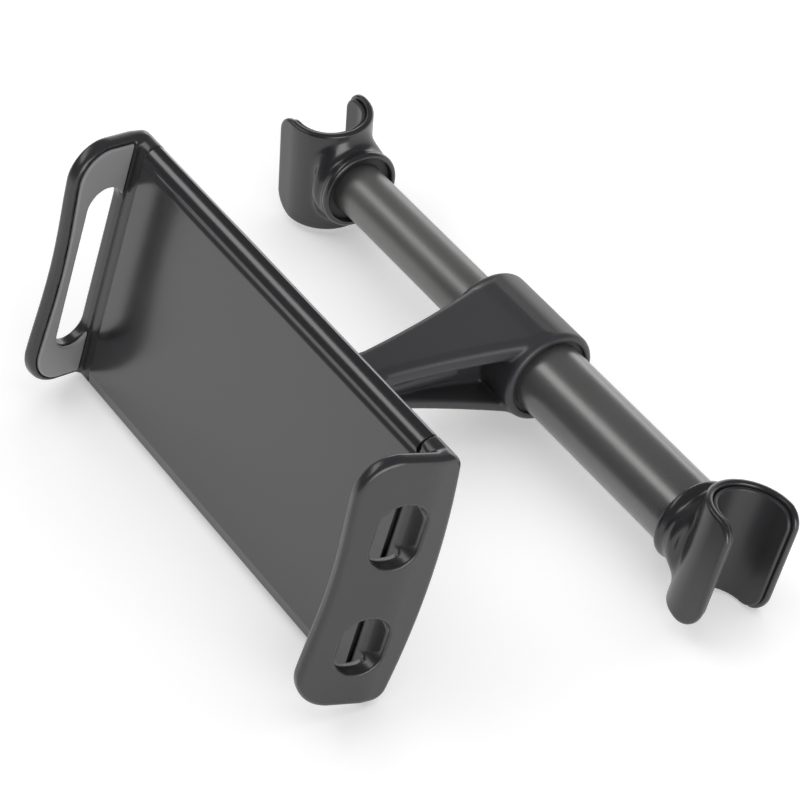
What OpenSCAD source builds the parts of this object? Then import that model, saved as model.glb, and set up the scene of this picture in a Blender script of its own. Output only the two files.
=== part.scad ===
/* [Headrest posts] */
// Diameter of the largest headrest post that the hooks take
post_d = 16; // [12:0.5:17]
// Distance between the two post centres with the rod at full length
post_spacing = 165.8; // [150:0.1:180]

/* [Hooks] */
// Thickness of the soft liner in a hook
liner_t = 1.1; // [0.8:0.1:2]
// Wall of the hook moulding round the liner
hook_wall = 1.8; // [1.4:0.1:3]
// Height of a hook above the rod axis
hook_top = 14.5; // [12:0.5:20]
// Depth of a hook below the rod axis
hook_bottom = 14.7; // [12:0.1:20]
// How far the arms of a hook reach past the post centre
hook_reach = 5.2; // [3:0.1:8]
// Radius of the upper corner of a hook arm
hook_top_r = 5; // [2:0.5:8]
// Radius of the lower corner of a hook arm
hook_bottom_r = 6; // [2:0.5:8]
// Radius of the collar that takes the tube
collar_r = 10.5; // [10.3:0.1:12]
// Distance from the post centre to the face of the collar
collar_reach = 15.8; // [15:0.1:20]
// Depth of the plug that each hook pushes into its tube
spigot_len = 8; // [5:0.5:12]
// Turn of the left hook about the rod
left_hook_turn = 14; // [-90:1:75]

/* [Tubes] */
// Outside diameter of the wide tube
outer_tube_d = 18; // [17:0.1:18.4]
// Wall of the wide tube
outer_tube_wall = 1.2; // [1:0.1:1.5]
// Outside diameter of the slim tube
inner_tube_d = 13.5; // [12:0.1:14]
// Wall of the slim tube
inner_tube_wall = 1.2; // [0.8:0.1:1.6]
// Length of the guide bush in the mouth of the wide tube
mouth_bush_len = 12; // [8:0.5:14]
// Length of the ring that guides the slim tube inside the wide one
guide_len = 8.6; // [6:0.1:10]
// Diameter of the shaft that the guide ring turns on
guide_shaft_d = 6; // [4:0.5:8]
// Thickness of the spring seat at the end of the shaft
spring_seat_t = 1.5; // [1:0.1:2.5]
// Mean diameter of the rod spring
rod_spring_d = 11.6; // [10:0.1:12.5]
// Wire of the rod spring
rod_spring_wire = 1.1; // [0.8:0.1:1.2]
// Turns of the rod spring
rod_spring_turns = 11; // [8:1:12]

/* [Arm] */
// Distance from the right post to the middle of the sleeve
sleeve_from_post = 82.8; // [75:0.1:90]
// Length of the sleeve on the rod
sleeve_len = 27; // [24:0.5:34]
// Outside radius of the sleeve
sleeve_r = 12; // [11.6:0.1:14]
// Wall of the two bushes in the sleeve
sleeve_bush_wall = 1.1; // [0.8:0.1:1.5]
// How deep the bushes sit behind the ends of the sleeve
bush_inset = 1; // [0.5:0.1:2]
// Width of the snap ring that keeps the sleeve in place
clip_w = 1; // [0.8:0.1:1.5]
// Angle that the arm drops from level
arm_drop = 4.8; // [3:0.1:6]
// Distance from the ball centre to the tip of the arm
ball_to_tip = 13.3; // [13:0.1:18]
// Slope of the upper plate against the arm's axis
arm_top_slope = 8.2; // [6:0.1:9]
// Distance from the rod axis to the underside of the lower plate
arm_under_r = 10.3; // [9.5:0.1:11]
// Slope of the lower plate against the arm's axis
arm_under_slope = 8.1; // [6:0.1:9]
// Half width of the arm where it leaves the sleeve
arm_root_w = 11.9; // [10:0.1:12.5]
// Half width of the arm at its tip
arm_tip_w = 4.7; // [4.6:0.1:6]
// Hollow of the arm's sides, seen from above
arm_waist = 0.8; // [0.4:0.1:1.5]
// Thickness of the upper plate
arm_plate_t = 5.2; // [3:0.1:6]
// Thickness of the lower plate
arm_floor_t = 2.6; // [1.5:0.1:4]
// Thickness of the web between the two plates
arm_web_t = 4; // [2:0.1:6]

/* [Ball joint] */
// Diameter of the ball
ball_d = 15; // [14:0.1:16]
// Diameter of the neck behind the ball
neck_d = 6.2; // [5:0.1:6.4]
// Diameter of the shank in the arm
shank_d = 5.2; // [4:0.1:5.8]
// Wall of the split seat round the ball
seat_t = 1.05; // [0.8:0.05:1.2]
// Wall of the socket outside the seat
cup_wall = 1.45; // [1.3:0.05:2]
// Half angle of the socket mouth
mouth_angle = 64; // [62:1:68]
// Distance from the tray face to the ball centre
ball_back = 17.5; // [17:0.1:19]
// Height of the ball above the middle of the tray
ball_rise = 0.8; // [0:0.1:4]
// How far the swivel flange stands out of the socket
flange_w = 1.7; // [1.2:0.1:2.5]
// Thickness of the swivel flange
flange_t = 1.5; // [1:0.1:1.6]
// Wall of the ring nut
nut_wall = 2.4; // [2.2:0.1:3]
// Length of the ring nut
nut_len = 12; // [9:0.5:14]
// Number of finger scallops on the ring nut
nut_scallops = 18; // [10:1:24]

/* [Tray] */
// Distance from the rod axis forward to the tray face
rod_to_tray = 77.1; // [76:0.1:84]
// How far the middle of the tray lies below the rod axis
tray_below_rod = 5; // [2:0.1:8]
// Length of the tray
tray_len = 111.4; // [105:0.1:125]
// Height of the tray and of the jaws
tray_h = 66.2; // [62:0.1:72]
// Depth of the tray in the middle of its bowed back
tray_depth = 9; // [8.8:0.1:11]
// Radius of the bow of the back
tray_bow_r = 140; // [130:1:200]
// Radius of the upper front edge
tray_edge_r = 4; // [3:0.1:5]
// Radius of the long rear edges
tray_rear_r = 2.3; // [1:0.1:2.6]
// Height of the bevel along the lower front edge
tray_bevel_h = 3.5; // [2:0.1:5]
// Depth of the bevel along the lower front edge
tray_bevel_d = 0.5; // [0.2:0.1:1]
// Thickness of the front plate
tray_floor_t = 2; // [1.5:0.1:2.2]
// Thickness of the back shell
tray_back_t = 1.8; // [1.5:0.1:2.2]
// Wall at the long sides of the tray
tray_side_t = 2; // [1.5:0.1:3]
// Depth of the joint line between the two shells
tray_joint_y = 4.8; // [4.4:0.1:5.2]
// Distance from the ends of the tray to its screws
screw_end_x = 5.7; // [5:0.1:8]
// Distance from the long edges of the tray to its screws
screw_edge_z = 6.9; // [6.5:0.1:7.5]

/* [Jaws] */
// Wall of a jaw
jaw_wall = 3.8; // [3:0.1:5]
// Distance from the tray end to the outer face of a jaw
jaw_base_len = 8.2; // [7:0.1:10]
// How far the jaw corners stand forward of the tray face
jaw_front = 17; // [13:0.5:20]
// Depth of the hollow in the free edge of a jaw
jaw_hollow = 1.5; // [0.8:0.1:3]
// Lean of the jaw wall over the tray
jaw_lean = 11.3; // [5:0.1:15]
// Radius of the front corners of a jaw
jaw_corner_r = 9.5; // [7:0.1:12]
// Radius of the rear corners of a jaw
jaw_rear_r = 3; // [1:0.1:3.5]
// Depth of a jaw behind the tray face
jaw_depth = 9; // [8.9:0.1:11]
// Radius of the bow of a jaw's rear edge
jaw_bow_r = 180; // [140:1:220]
// Gap between a closed jaw and the tray
jaw_gap = 0.2; // [0.1:0.05:0.4]
// Width of the rim round the soft pad of a jaw
pad_rim = 1.6; // [1.2:0.1:4]
// Thickness of the soft pad
pad_t = 1; // [0.8:0.1:1.6]
// How far the pad stands out of its recess
pad_proud = 0.4; // [0.2:0.1:0.6]
// Upper end of the long slot in the left jaw, above the middle
left_slot_top = 21; // [15:0.1:24]
// Lower end of the long slot in the left jaw, below the middle
left_slot_bottom = 23.4; // [15:0.1:25]
// Width of the long slot in the left jaw
left_slot_w = 10.3; // [6:0.1:11]
// Lower end of the upper slot in the right jaw, above the middle
upper_slot_bottom = 4.7; // [2:0.1:8]
// Upper end of the upper slot in the right jaw, above the middle
upper_slot_top = 21.3; // [19:0.1:24]
// Upper end of the lower slot in the right jaw, below the middle
lower_slot_top = 9; // [4:0.1:12]
// Lower end of the lower slot in the right jaw, below the middle
lower_slot_bottom = 24.1; // [23:0.1:26]
// How far the right slots reach forward of the tray face
right_slot_front = 9.5; // [7:0.1:10]
// How far the right slots reach behind the tray face
right_slot_back = 1.9; // [0:0.1:2]
// Corner radius of the right slots
right_slot_r = 5.4; // [2:0.1:5.6]
// Thickness of the slide on each jaw
slide_t = 2; // [1.5:0.1:2.1]
// Half height of the slide
slide_half_h = 15.5; // [12:0.1:16.5]
// Distance from the middle of the tray to the inner end of a slide
slide_inner = 6; // [4:0.5:8]
// Distance from the long edges of the tray to the jaw springs
jaw_spring_edge = 11.8; // [11:0.1:12.2]
// Mean diameter of a jaw spring
jaw_spring_d = 2.4; // [2:0.1:2.5]
// Wire of a jaw spring
jaw_spring_wire = 0.5; // [0.4:0.05:0.6]
// Turns of a jaw spring
jaw_spring_turns = 16; // [12:1:20]
// Distance from the tray ends to the spring posts
spring_post_end = 11; // [10:0.5:14]

/* [Fits] */
// Radial clearance of a turning or sliding fit
run_fit = 0.05; // [0.03:0.01:0.1]
// Clearance of pieces that are fixed together
seat_fit = 0.1; // [0.05:0.01:0.15]
// Clearance beside the jaw slides
slide_gap = 0.2; // [0.15:0.05:0.3]

/* [Hidden] */
$fn = 64;
// Overshoot of a cut past the face that it opens
eps = 0.5;
big = 300;

plastic = [0.17, 0.17, 0.18];
tube_grey = [0.42, 0.42, 0.42];
rubber = [0.24, 0.24, 0.25];
steel = [0.66, 0.67, 0.69];
nylon = [0.85, 0.85, 0.82];
tray_grey = [0.36, 0.36, 0.37];

// Hooks
post_r = post_d / 2;
liner_r = post_r + liner_t;
hook_bore_r = liner_r + seat_fit;
hook_r = hook_bore_r + hook_wall;
socket_floor = hook_r + 0.3;
collar_len = collar_reach - post_r;
collar_edge_r = 0.8;
collar_blend_h = hook_bottom - 4;
blend_inset = 0.12;
blend_end = collar_reach - 2.6;
liner_edge = 0.8;
screw_r = 1.2;
screw_head_r = 1.8;
screw_tip_z = 2;
screw_head_t = 0.8;
hook_screw_x = (socket_floor + collar_reach) / 2;

// Tubes
outer_r = outer_tube_d / 2;
outer_bore_r = outer_r - outer_tube_wall;
inner_r = inner_tube_d / 2;
inner_bore_r = inner_r - inner_tube_wall;
left_post_x = -post_spacing;
sleeve_x = -sleeve_from_post;
adapter_inset = 1.5;
mouth_x = sleeve_x - sleeve_len / 2 + 1.5;
mouth_bush_end = mouth_x + mouth_bush_len;
outer_tube_end = -socket_floor - seat_fit;
inner_tube_start = left_post_x + socket_floor + seat_fit;
guide_clear = 0.1;
shoulder_x = mouth_bush_end;
seat_x = shoulder_x + guide_len + 2 * guide_clear;
spring_start = seat_x + spring_seat_t;
spring_end = -socket_floor - spigot_len;
plug_len = 9;
spring_seat_r = rod_spring_d / 2 + rod_spring_wire;
spring_nose_r = rod_spring_d / 2 - rod_spring_wire;
spring_nose_len = 2;

// Arm
sleeve_bore_r = outer_r + run_fit + sleeve_bush_wall;
clip_side = 0.15;
groove_depth = 0.5;
clip_bore_r = outer_r - groove_depth + run_fit;
clip_r = sleeve_bore_r - 0.25;
sleeve_edge_r = 1.2;
ball_y = ball_back - rod_to_tray;
ball_z = ball_rise - tray_below_rod;
arm_ball_y = ball_y * cos(arm_drop) + ball_z * sin(arm_drop);
arm_ball_z = ball_z * cos(arm_drop) - ball_y * sin(arm_drop);
arm_len = -arm_ball_y - ball_to_tip;
arm_top_z = sleeve_r / cos(arm_top_slope);
arm_under_z = arm_under_r / cos(arm_under_slope);
tip_top = arm_top_z - arm_len * tan(arm_top_slope);
tip_under = arm_under_z - arm_len * tan(arm_under_slope);
arm_root_y = 8;
waist_chord = [arm_tip_w - arm_root_w, arm_root_y - arm_len];
waist_len = norm(waist_chord);
waist_r = (waist_len * waist_len / 4 + arm_waist * arm_waist) / (2 * arm_waist);
waist_out = [-waist_chord[1], waist_chord[0]] / waist_len;
waist_mid = [(arm_root_w + arm_tip_w) / 2, -(arm_root_y + arm_len) / 2];
waist_centre = waist_mid + (waist_r - arm_waist) * waist_out;
nose_len = 2;
nose_r = 4.6;
recess_end = 4;

// Ball joint, seen from the middle of the tray face
ball_r = ball_d / 2;
neck_r = neck_d / 2;
seat_bore_r = ball_r + run_fit;
seat_r = seat_bore_r + seat_t;
cup_bore_r = seat_r + run_fit;
cup_r = cup_bore_r + cup_wall;
cup_mouth_t = cup_bore_r * cos(mouth_angle);
seat_slits = 6;
seat_slit_w = 1;
shank_len = 12;
flange_gap = 0.1;
flange_back = tray_depth - tray_back_t - flange_gap;
flange_front = flange_back - flange_t;
plate_t = 1;
plate_back = flange_front - flange_gap;
plate_front = plate_back - plate_t;
plate_bore_r = cup_r - 3;
swivel_hole_r = cup_r + 2 * run_fit;
flange_r = cup_r + flange_w;
boss_bore_r = flange_r + 0.3;
boss_r = boss_bore_r + 2;
swivel_screw_ring = (boss_bore_r + boss_r) / 2;
swivel_screw_r = 0.6;
swivel_head_r = 1.1;
swivel_head_t = 0.5;
swivel_screw_grip = 1.5;
nut_bore_r = cup_r + run_fit;
nut_r = nut_bore_r + nut_wall;
nut_lip_t = 1.7;
nut_front = ball_back + cup_mouth_t + seat_fit + nut_lip_t - nut_len;
nut_mouth_r = nut_bore_r - nut_lip_t;

// Tray
half_len = tray_len / 2;
half_h = tray_h / 2;
edge_z = half_h - tray_edge_r;
// How far a piece sinks into the wall that it is moulded to
sink = 0.2;
bevel_foot_r = 1.2;
shell_gap = 0.05;
crease_w = 1.2;
crease_d = 0.5;
end_wall = 2;
slide_y = tray_floor_t + slide_gap;
slide_top = slide_half_h + slide_gap;
boss_screw_r = 2.2;
back_head_r = 2.1;
back_head_t = 1.1;
back_shank_r = 0.9;
cross_len = 2.4;
cross_w = 0.6;
cross_t = 0.5;
screw_x = half_len - screw_end_x;
screw_z = half_h - screw_edge_z;
jaw_spring_z = half_h - jaw_spring_edge;
screw_back = back_at(screw_z, tray_depth, tray_bow_r) - 0.3;
screw_tip = tray_floor_t + 0.3;
spring_post_x = half_len - spring_post_end;
spring_post_r = 1;
spring_y = slide_y + 1.4;
lug_w = 3;
lug_top = jaw_spring_z + spring_post_r;

// Jaws, for the right one
jaw_in = half_len + jaw_gap;
jaw_out = half_len + jaw_base_len;
wall_root = 1.5;
slide_root = 1;
pad_clear = 0.3;
pad_back = (jaw_wall + pad_proud + pad_clear) * tan(jaw_lean) + 0.2;
pad_floor = jaw_out - jaw_wall + pad_t - pad_proud;
hollow_half_h = half_h - jaw_corner_r;
hollow_r = (hollow_half_h * hollow_half_h / jaw_hollow + jaw_hollow) / 2;
pocket_floor = jaw_out - jaw_wall;
slot_reach = 5;
spring_gap = 0.1;
spring_start_x = -spring_post_x + spring_post_r + spring_gap;
spring_len = slide_inner - spring_gap - spring_start_x;

// Where a round corner of radius r lies against a bowed back, at the height of its centre
function corner_at(z, depth, bow_r, r) = depth - bow_r + sqrt((bow_r - r) * (bow_r - r) - z * z);

// Depth of a bowed back at a height above the middle
function back_at(z, depth, bow_r) = depth - bow_r + sqrt(bow_r * bow_r - z * z);

// One ring of points round the wire of a coil
function wire_ring(angle, z, coil_r, wire_r, sides) = [
    for (k = [0 : sides - 1])
        let (reach = coil_r + wire_r * cos(360 * k / sides))
        [reach * cos(angle), reach * sin(angle), z + wire_r * sin(360 * k / sides)]
];

// A coil spring that stands on its end
module coil(length, coil_r, wire_r, turns, steps, sides) {
    rings = turns * steps;
    rise = (length - 2 * wire_r) / rings;
    points = [
        for (i = [0 : rings])
            each wire_ring(360 * i / steps, wire_r + rise * i, coil_r, wire_r, sides)
    ];
    sides_faces = [
        for (i = [0 : rings - 1], k = [0 : sides - 1])
            let (a = i * sides + k, b = i * sides + (k + 1) % sides)
            each [[a, a + sides, b + sides], [a, b + sides, b]]
    ];
    first_cap = [for (k = [0 : sides - 1]) k];
    last_cap = [for (k = [sides - 1 : -1 : 0]) rings * sides + k];
    polyhedron(points = points, faces = concat(sides_faces, [first_cap, last_cap]));
}

// Puts what stands along Z along X, from x0
module along_x(x0) {
    translate([x0, 0, 0]) rotate([0, 90, 0]) children();
}

module rod(x0, x1, r) {
    along_x(x0) cylinder(r = r, h = x1 - x0);
}

module tube(x0, x1, r, bore_r) {
    difference() {
        rod(x0, x1, r);
        rod(x0 - eps, x1 + eps, bore_r);
    }
}

// Half of a rounded bar's profile, turned round the Z axis
module rounded_bar(r, length, edge) {
    rotate_extrude() {
        translate([0, edge]) square([r, length - 2 * edge]);
        square([r - edge, length]);
        translate([r - edge, edge]) intersection() {
            circle(edge, $fn = 32);
            square(4 * edge, center = true);
        }
        translate([r - edge, length - edge]) circle(edge, $fn = 32);
    }
}

// The open C of a hook, seen from above
module hook_plan(r) {
    circle(r);
    translate([0, -r]) square([hook_reach + eps, 2 * r]);
}

// The side of a hook arm, with its two round corners at the free edge
module hook_side(inset) {
    tip = hook_reach - inset;
    top = hook_top - inset;
    under = -hook_bottom + inset;
    top_r = hook_top_r - inset;
    under_r = hook_bottom_r - inset;
    translate([-hook_r - eps, 0]) square([hook_r + eps + tip - top_r, top]);
    square([tip, top - top_r]);
    translate([tip - top_r, top - top_r]) circle(top_r);
    translate([-hook_r - eps, under]) square([hook_r + eps + tip - under_r, -under]);
    translate([0, under + under_r]) square([tip, -under - under_r]);
    translate([tip - under_r, under + under_r]) circle(under_r);
}

module hook_slab(inset) {
    rotate([90, 0, 0]) translate([0, 0, -hook_r - eps]) linear_extrude(2 * hook_r + 2 * eps) hook_side(inset);
}

// A hook that opens to +X, with its collar to -X
module hook(tube_bore_r) {
    color(plastic) difference() {
        union() {
            intersection() {
                translate([0, 0, -hook_bottom]) linear_extrude(hook_bottom + hook_top) hook_plan(hook_r);
                hook_slab(0);
            }
            along_x(-collar_reach) rounded_bar(collar_r, collar_len, collar_edge_r);
            // The blend between them ends behind the open mouth
            intersection() {
                hull() {
                    translate([0, 0, -collar_blend_h]) {
                        cylinder(r = hook_r - blend_inset, h = 2 * collar_blend_h, $fn = 40);
                    }
                    rod(-blend_end, -socket_floor, collar_r - blend_inset, $fn = 40);
                }
                translate([-blend_end - eps, -hook_r, -collar_r]) {
                    cube([blend_end + eps, 2 * hook_r, 2 * collar_r]);
                }
            }
        }
        translate([0, 0, -hook_bottom - eps]) {
            linear_extrude(hook_bottom + hook_top + 2 * eps) hook_plan(hook_bore_r);
        }
        rod(-collar_reach - eps, -socket_floor, outer_r + seat_fit);
        hook_screw_hole(collar_r + eps);
        at_hook_screw() translate([0, 0, collar_r - screw_head_t - seat_fit]) {
            cylinder(r = screw_head_r + seat_fit, h = 2 * screw_head_t);
        }
    }
    color(plastic) difference() {
        rod(-socket_floor - spigot_len, -socket_floor + sink, tube_bore_r - seat_fit);
        hook_screw_hole(collar_r + eps);
    }
}

module at_hook_screw() {
    translate([-hook_screw_x, 0, 0]) rotate([180, 0, 0]) children();
}

module hook_screw_hole(top) {
    at_hook_screw() cylinder(r = screw_r + run_fit, h = top);
}

module hook_liner() {
    color(rubber) difference() {
        intersection() {
            translate([0, 0, -hook_bottom]) linear_extrude(hook_bottom + hook_top) hook_plan(liner_r);
            hook_slab(liner_edge);
        }
        translate([0, 0, -hook_bottom]) linear_extrude(hook_bottom + hook_top) hook_plan(post_r);
    }
}

module hook_screw() {
    head_z = collar_r - screw_head_t - run_fit;
    color(steel) at_hook_screw() {
        translate([0, 0, screw_tip_z]) cylinder(r = screw_r, h = head_z - screw_tip_z);
        translate([0, 0, head_z]) cylinder(r = screw_head_r, h = screw_head_t);
    }
}

// Takes a right hook's piece to the left end of the rod
module to_left_end() {
    translate([left_post_x, 0, 0]) rotate([left_hook_turn, 0, 0]) mirror([1, 0, 0]) children();
}

module right_hook() {
    hook(outer_bore_r);
}

module right_hook_liner() {
    hook_liner();
}

module right_hook_screw() {
    hook_screw();
}

module left_hook() {
    to_left_end() hook(inner_bore_r);
}

module left_hook_liner() {
    to_left_end() hook_liner();
}

module left_hook_screw() {
    to_left_end() hook_screw();
}

module outer_tube() {
    color(tube_grey) difference() {
        tube(mouth_x, outer_tube_end, outer_r, outer_bore_r);
        difference() {
            rod(sleeve_x - clip_w / 2 - clip_side, sleeve_x + clip_w / 2 + clip_side, outer_r + eps);
            rod(sleeve_x - clip_w, sleeve_x + clip_w, outer_r - groove_depth);
        }
        hook_screw_hole(collar_r);
    }
}

module mouth_bush() {
    color(nylon) tube(mouth_x, mouth_bush_end, outer_bore_r - seat_fit, inner_r + run_fit);
}

module sleeve_clip() {
    gap_w = 3;
    color(steel) difference() {
        tube(sleeve_x - clip_w / 2, sleeve_x + clip_w / 2, clip_r, clip_bore_r);
        translate([sleeve_x - clip_w, -gap_w / 2, -clip_r - eps]) cube([2 * clip_w, gap_w, clip_r]);
    }
}

module rod_spring() {
    start = spring_start + seat_fit;
    length = spring_end - seat_fit - start;
    color(steel) along_x(start) {
        coil(length, rod_spring_d / 2, rod_spring_wire / 2, rod_spring_turns, 16, 6);
    }
}

module guide_ring() {
    x0 = shoulder_x + guide_clear;
    color(nylon) tube(x0, x0 + guide_len, outer_bore_r - run_fit, guide_shaft_d / 2 + run_fit);
}

module inner_tube() {
    color(tube_grey) difference() {
        tube(inner_tube_start, shoulder_x, inner_r, inner_bore_r);
        to_left_end() hook_screw_hole(collar_r);
    }
}

// The plug in the slim tube, with the shaft of the guide ring and the spring's seat
module spring_plug() {
    color(plastic) {
        rod(shoulder_x - plug_len, shoulder_x, inner_bore_r - seat_fit);
        rod(shoulder_x, seat_x, guide_shaft_d / 2);
        rod(seat_x, spring_start, spring_seat_r);
        rod(spring_start, spring_start + spring_nose_len, spring_nose_r);
    }
}

module left_tube_adapter() {
    bore_start = collar_reach - adapter_inset;
    color(plastic) difference() {
        tube(inner_tube_start, left_post_x + bore_start, outer_r, inner_r + seat_fit);
        to_left_end() hook_screw_hole(collar_r);
    }
}

// The arm's outline from the side, with the sleeve at the origin and the tip to -Y
module arm_side() {
    polygon([
        [0, 0],
        [0, sleeve_r * 0.9],
        [-sleeve_r * sin(arm_top_slope), sleeve_r * cos(arm_top_slope)],
        [-arm_len, tip_top],
        [-arm_len, -tip_under],
        [-arm_under_r * sin(arm_under_slope), -arm_under_r * cos(arm_under_slope)]
    ]);
}

// The window between the two plates
module arm_window() {
    polygon([
        [0, arm_top_z - arm_plate_t],
        [-arm_len + recess_end, arm_top_z - arm_plate_t - (arm_len - recess_end) * tan(arm_top_slope)],
        [-arm_len + recess_end, -arm_under_z + arm_floor_t + (arm_len - recess_end) * tan(arm_under_slope)],
        [0, -arm_under_z + arm_floor_t]
    ]);
}

module across_x(half_w) {
    rotate([90, 0, 90]) translate([0, 0, -half_w]) linear_extrude(2 * half_w) children();
}

module arm_plan() {
    difference() {
        translate([-arm_root_w, -arm_len]) square([2 * arm_root_w, arm_len]);
        for (side = [-1, 1]) {
            translate([side * waist_centre[0], waist_centre[1]]) circle(waist_r, $fn = 360);
        }
    }
}

module on_arm() {
    translate([sleeve_x, 0, 0]) rotate([arm_drop, 0, 0]) children();
}

// Sleeve and bracket are one moulding: two plates on a web, like a beam
module arm() {
    color(plastic) on_arm() difference() {
        union() {
            intersection() {
                difference() {
                    across_x(arm_root_w) arm_side();
                    for (side = [-1, 1]) {
                        translate([side * (arm_web_t / 2 + arm_root_w), 0, 0]) {
                            across_x(arm_root_w) arm_window();
                        }
                    }
                }
                translate([0, 0, -sleeve_r]) linear_extrude(2 * sleeve_r) arm_plan();
            }
            along_x(-sleeve_len / 2) rounded_bar(sleeve_r, sleeve_len, sleeve_edge_r);
            translate([0, -arm_len + recess_end, arm_ball_z]) rotate([90, 0, 0]) {
                rounded_bar(nose_r, recess_end + nose_len, 1);
            }
        }
        rod(-sleeve_len / 2 - eps, sleeve_len / 2 + eps, sleeve_bore_r);
        stud_bore = shank_d / 2 + seat_fit;
        translate([0, -arm_len + shank_len - nose_len, arm_ball_z]) {
            rotate([90, 0, 0]) cylinder(r = stud_bore, h = shank_len + eps);
        }
    }
}

module sleeve_bush(x0, x1) {
    color(nylon) tube(x0, x1, sleeve_bore_r, outer_r + run_fit);
}

module left_sleeve_bush() {
    sleeve_bush(mouth_x + clip_side, sleeve_x - clip_w / 2 - clip_side);
}

module right_sleeve_bush() {
    sleeve_bush(sleeve_x + clip_w / 2 + clip_side, sleeve_x + sleeve_len / 2 - bush_inset);
}

// Ball, neck and shank turned in one piece
module ball_stud() {
    reach = -arm_ball_y - arm_len - nose_len;
    color(steel) on_arm() translate([0, arm_ball_y, arm_ball_z]) {
        sphere(ball_r, $fn = 96);
        rotate([-90, 0, 0]) cylinder(r = neck_r, h = reach);
        translate([0, reach, 0]) rotate([-90, 0, 0]) cylinder(r = shank_d / 2, h = shank_len);
    }
}

// Takes a piece whose axis is Z to the ball, with its mouth towards the rod
module at_ball() {
    translate([sleeve_x, ball_y, ball_z]) rotate([-90, 0, 0]) children();
}

// A ball's shell that is open at the top by the mouth angle
module open_shell(r, bore_r) {
    rim = r + eps;
    difference() {
        sphere(r, $fn = 96);
        sphere(bore_r, $fn = 96);
        rotate_extrude() polygon([[0, 0], [rim * tan(mouth_angle), rim], [0, rim]]);
    }
}

module ball_seat() {
    color(nylon) at_ball() difference() {
        open_shell(seat_r, seat_bore_r);
        for (k = [0 : seat_slits - 1]) {
            rotate([0, 0, 360 * k / seat_slits]) translate([0, -seat_slit_w / 2, -1]) {
                cube([seat_r + eps, seat_slit_w, seat_r + 1]);
            }
        }
    }
}

module socket_cup() {
    front = ball_back - flange_front;
    color(plastic) at_ball() difference() {
        union() {
            translate([0, 0, -front]) cylinder(r = cup_r, h = front + cup_mouth_t);
            translate([0, 0, -front]) cylinder(r = flange_r, h = flange_t);
        }
        sphere(cup_bore_r, $fn = 96);
        rotate_extrude() polygon([
            [0, 0],
            [(cup_mouth_t + eps) * tan(mouth_angle), cup_mouth_t + eps],
            [0, cup_mouth_t + eps]
        ]);
    }
}

module ring_nut() {
    front = nut_front - ball_back;
    scallop_r = 1.4;
    color(plastic) at_ball() translate([0, 0, front]) difference() {
        rounded_bar(nut_r, nut_len, 1);
        translate([0, 0, -eps]) cylinder(r = nut_bore_r, h = nut_len - nut_lip_t + eps);
        cylinder(r = nut_mouth_r, h = nut_len + eps);
        for (k = [0 : nut_scallops - 1]) {
            rotate([0, 0, 360 * k / nut_scallops]) translate([nut_r + scallop_r * 0.45, 0, -eps]) {
                cylinder(r = scallop_r, h = nut_len + 2 * eps);
            }
        }
    }
}

module on_tray() {
    translate([sleeve_x, -rod_to_tray, -tray_below_rod]) children();
}

// A plate seen from the side with a bowed back, its two rear corners rounded, from the depth front on
module bowed_back(front, depth, bow_r, r) {
    corner_z = half_h - r;
    corner_y = corner_at(corner_z, depth, bow_r, r);
    join_z = corner_z * bow_r / (bow_r - r);
    intersection() {
        union() {
            translate([front, -join_z]) square([depth - front, 2 * join_z]);
            translate([front, -half_h]) square([corner_y - front, tray_h]);
            for (side = [-1, 1]) {
                translate([corner_y, side * corner_z]) circle(r);
            }
        }
        translate([depth - bow_r, 0]) circle(bow_r, $fn = 720);
    }
}

// Section of the closed tray, drawn with the depth to the right and the height up
module tray_section() {
    foot_y = tray_bevel_d + bevel_foot_r;
    intersection() {
        bowed_back(0, tray_depth, tray_bow_r, tray_rear_r);
        union() {
            translate([0, tray_bevel_h - half_h]) square([tray_depth, edge_z + half_h - tray_bevel_h]);
            translate([tray_edge_r, 0]) square([tray_depth, half_h]);
            translate([tray_edge_r, edge_z]) circle(tray_edge_r);
            polygon([
                [0, tray_bevel_h - half_h],
                [tray_bevel_d, bevel_foot_r - half_h],
                [foot_y, -half_h],
                [tray_depth, -half_h],
                [tray_depth, tray_bevel_h - half_h]
            ]);
            translate([foot_y, bevel_foot_r - half_h]) circle(bevel_foot_r);
        }
    }
}

// The room inside the front shell, and in the back shell as far as its bowed wall
module tray_room() {
    translate([tray_floor_t, -half_h + tray_side_t]) square([tray_depth, tray_h - 2 * tray_side_t]);
}

module tray_hollow() {
    intersection() {
        tray_room();
        translate([tray_depth - tray_bow_r, 0]) circle(tray_bow_r - tray_back_t, $fn = 720);
    }
}

module front_half() {
    translate([-eps, -big / 2]) square([tray_joint_y + eps, big]);
}

module tray_front() {
    color(tray_grey) on_tray() {
        difference() {
            across_x(half_len) intersection() {
                tray_section();
                front_half();
            }
            across_x(half_len - end_wall) tray_room();
            across_x(half_len + eps) translate([slide_y - slide_gap, -slide_top]) {
                square([slide_t + 2 * slide_gap, 2 * slide_top]);
            }
            translate([-half_len - eps, -eps, edge_z - crease_w]) {
                cube([tray_len + 2 * eps, crease_d + eps, crease_w]);
            }
        }
        difference() {
            for (sx = [-1, 1], sz = [-1, 1]) {
                translate([sx * screw_x, tray_floor_t - sink, sz * screw_z]) {
                    rotate([-90, 0, 0]) cylinder(r = boss_screw_r, h = tray_joint_y - tray_floor_t);
                }
            }
            back_screw_holes();
        }
        for (side = [-1, 1]) {
            translate([side * spring_post_x, tray_floor_t - sink, -side * jaw_spring_z]) {
                rotate([-90, 0, 0]) cylinder(r = spring_post_r, h = tray_joint_y - tray_floor_t);
            }
            slide_rib(side);
        }
    }
}

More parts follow.
